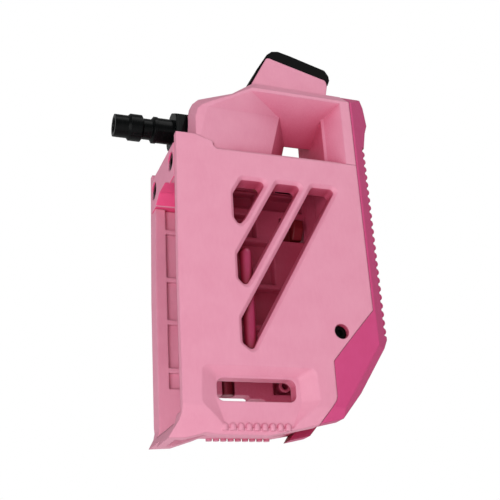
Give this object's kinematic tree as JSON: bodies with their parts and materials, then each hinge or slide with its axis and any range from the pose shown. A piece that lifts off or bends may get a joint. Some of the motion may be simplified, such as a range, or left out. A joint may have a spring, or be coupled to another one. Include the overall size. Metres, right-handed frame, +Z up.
{
  "type": "airsoft magazine adapter",
  "caption": "Moulded two-shell housing that holds a rifle-pattern ball magazine under a gas pistol and feeds it from a quick-disconnect air plug.",
  "frame": {"origin": "centre of the magazine mouth, in the plane of the lowest rim, on the split between the two shells", "axes": "+X from the air plug towards the ribbed spine, +Y out of the right shell, +Z up to the feed tower"},
  "size_m": [0.1074, 0.0406, 0.1653],
  "materials": {
    "pale_pink_nylon": "moulded, fine matt texture",
    "rose_nylon": "moulded, fine matt texture",
    "black_nylon": "moulded, satin",
    "black_steel": "black oxide, satin",
    "bright_steel": "ground",
    "brass_insert": "turned",
    "anodised_aluminium": "clear anodised",
    "black_rubber": "matt",
    "clear_tube": "smooth"
  },
  "bodies": {
    "housing": {"left_shell": "pale_pink_nylon", "right_shell": "pale_pink_nylon", "upper_housing": "pale_pink_nylon", "front_bridge": "pale_pink_nylon", "rear_spine": "rose_nylon", "guide_rails": "rose_nylon", "bridge_screws": "black_steel", "bridge_inserts": "brass_insert", "side_screws": "black_steel", "side_inserts": "brass_insert", "spine_dowels": "bright_steel", "air_block": "anodised_aluminium", "block_screws": "black_steel", "air_plug": "black_steel", "plug_washer": "black_rubber", "air_tube": "clear_tube", "feed_tube": "brass_insert", "feed_seal": "black_rubber", "tower_core": "black_nylon", "tower_strap": "black_rubber", "stop_spring": "bright_steel", "catch_pin": "bright_steel", "catch_spring": "bright_steel", "stop_pad": "black_rubber"},
    "catch": {"mag_catch": "rose_nylon"},
    "stop": {"ball_stop": "bright_steel"}
  },
  "joints": [
    {"name": "catch_rock", "type": "hinge", "parent": "housing", "child": "catch", "pos_m": [0.0225, 0.0158, 0.0935], "axis": [0, 0, 1], "range_deg": [0, 8], "stiffness_Nm_per_rad": 0.02, "deforming": ["catch_spring"]},
    {"name": "stop_press", "type": "slide", "parent": "housing", "child": "stop", "axis": [0, 1, 0], "range_m": [0, 0.0012], "stiffness_N_per_m": 150, "deforming": ["stop_spring"]}
  ]
}
